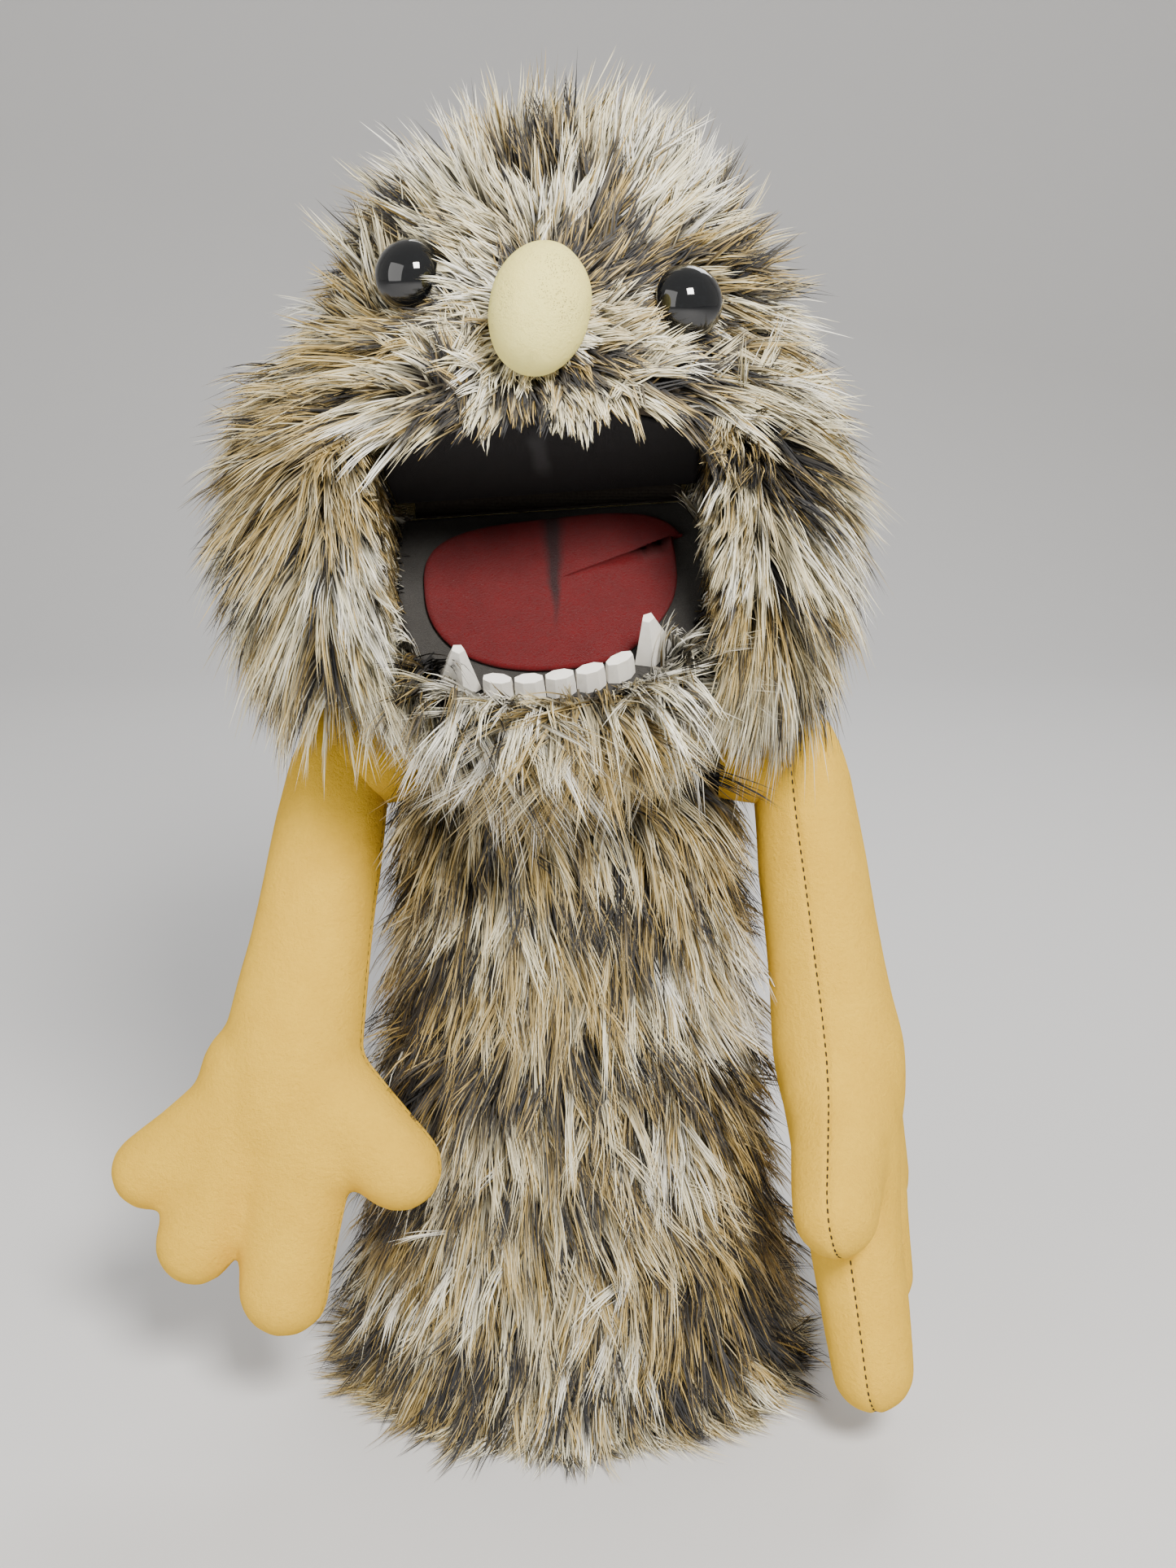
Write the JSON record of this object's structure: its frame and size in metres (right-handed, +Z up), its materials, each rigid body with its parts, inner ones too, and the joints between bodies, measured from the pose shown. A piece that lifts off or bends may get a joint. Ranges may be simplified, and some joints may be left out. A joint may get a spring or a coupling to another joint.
{
  "type": "moving mouth hand puppet",
  "caption": "Fur-covered hand puppet with a hinged felt-lined mouth, carved teeth, dome eyes, a padded egg nose and stuffed swinging arms.",
  "frame": {"origin": "middle of the puppet's bounding footprint, on the floor under the hem", "axes": "+Z up, the puppet faces -Y, +X is the puppet's left"},
  "size_m": [0.3216, 0.225, 0.5035],
  "materials": {
    "fur_pile": "long mottled grey, tan and charcoal pile",
    "tan_fleece": "soft brushed fleece",
    "nose_fleece": "cream fleece over a firm form",
    "red_felt": "matte pressed felt",
    "black_felt": "matte pressed felt",
    "grey_felt": "matte pressed felt",
    "dark_knit": "matte knitted cloth",
    "foam": "open-cell upholstery foam",
    "stuffing": "loose fibre filling",
    "board": "stiff matte board",
    "tooth_white": "matte white, hand cut",
    "eye_black": "glossy black dome",
    "white_plastic": "plain moulded plastic"
  },
  "bodies": {
    "sleeve": {"sleeve_front_fur": "fur_pile", "sleeve_back_fur": "fur_pile", "sleeve_hem_band": "dark_knit", "sleeve_lining": "dark_knit"},
    "neck": {"neck_cuff": "dark_knit"},
    "head": {"eye_right": "eye_black", "eye_washer_right": "white_plastic", "eye_left": "eye_black", "eye_washer_left": "white_plastic", "head_foam_core": "foam", "head_face_fur": "fur_pile", "head_back_fur": "fur_pile", "nose_core": "foam", "nose_cover": "nose_fleece", "palate_felt": "black_felt", "upper_mouth_plate": "board", "finger_strap": "dark_knit", "mouth_hinge_tape": "dark_knit"},
    "jaw": {"mouth_floor_felt": "grey_felt", "lower_mouth_plate": "board", "tongue": "red_felt", "thumb_loop": "dark_knit", "jaw_foam_core": "foam", "jaw_beard_fur": "fur_pile", "tooth_1": "tooth_white", "tooth_2": "tooth_white", "tooth_3": "tooth_white", "tooth_4": "tooth_white", "tooth_5": "tooth_white", "fang_right": "tooth_white", "fang_left": "tooth_white"},
    "shoulder_right": {"shoulder_button_right": "white_plastic"},
    "cup_right": {"shoulder_cup_right": "white_plastic"},
    "arm_right": {"arm_right_front_fleece": "tan_fleece", "arm_right_back_fleece": "tan_fleece", "arm_right_stuffing": "stuffing"},
    "shoulder_left": {"shoulder_button_left": "white_plastic"},
    "cup_left": {"shoulder_cup_left": "white_plastic"},
    "arm_left": {"arm_left_front_fleece": "tan_fleece", "arm_left_back_fleece": "tan_fleece", "arm_left_stuffing": "stuffing"}
  },
  "joints": [
    {"name": "head_turn", "type": "hinge", "parent": "sleeve", "child": "neck", "pos_m": [0.02021, 0.003, 0.296], "axis": [0, 0, 1], "range_deg": [-30, 30]},
    {"name": "head_nod", "type": "hinge", "parent": "neck", "child": "head", "pos_m": [0.01221, 0.003, 0.296], "axis": [1, 0, 0], "range_deg": [-15, 15]},
    {"name": "jaw_hinge", "type": "hinge", "parent": "head", "child": "jaw", "pos_m": [0.01221, -0.01, 0.365], "axis": [0.9976, 0, 0.0698], "range_deg": [-45, 10]},
    {"name": "arm_right_swing", "type": "hinge", "parent": "sleeve", "child": "shoulder_right", "pos_m": [-0.06979, 0.003, 0.26], "axis": [1, 0, 0], "range_deg": [-70, 2]},
    {"name": "arm_right_raise", "type": "hinge", "parent": "shoulder_right", "child": "cup_right", "pos_m": [-0.06979, 0.003, 0.26], "axis": [0, 1, 0], "range_deg": [-1, 80]},
    {"name": "arm_right_twist", "type": "hinge", "parent": "cup_right", "child": "arm_right", "pos_m": [-0.06979, 0.003, 0.26], "axis": [0.165, 0.3211, 0.9326], "range_deg": [-60, 4]},
    {"name": "arm_left_swing", "type": "hinge", "parent": "sleeve", "child": "shoulder_left", "pos_m": [0.11021, 0.003, 0.26], "axis": [1, 0, 0], "range_deg": [-75, 12]},
    {"name": "arm_left_raise", "type": "hinge", "parent": "shoulder_left", "child": "cup_left", "pos_m": [0.11021, 0.003, 0.26], "axis": [0, -1, 0], "range_deg": [-2, 80]},
    {"name": "arm_left_twist", "type": "hinge", "parent": "cup_left", "child": "arm_left", "pos_m": [0.11021, 0.003, 0.26], "axis": [-0.1392, 0.2563, 0.9565], "range_deg": [-30, 15]}
  ]
}
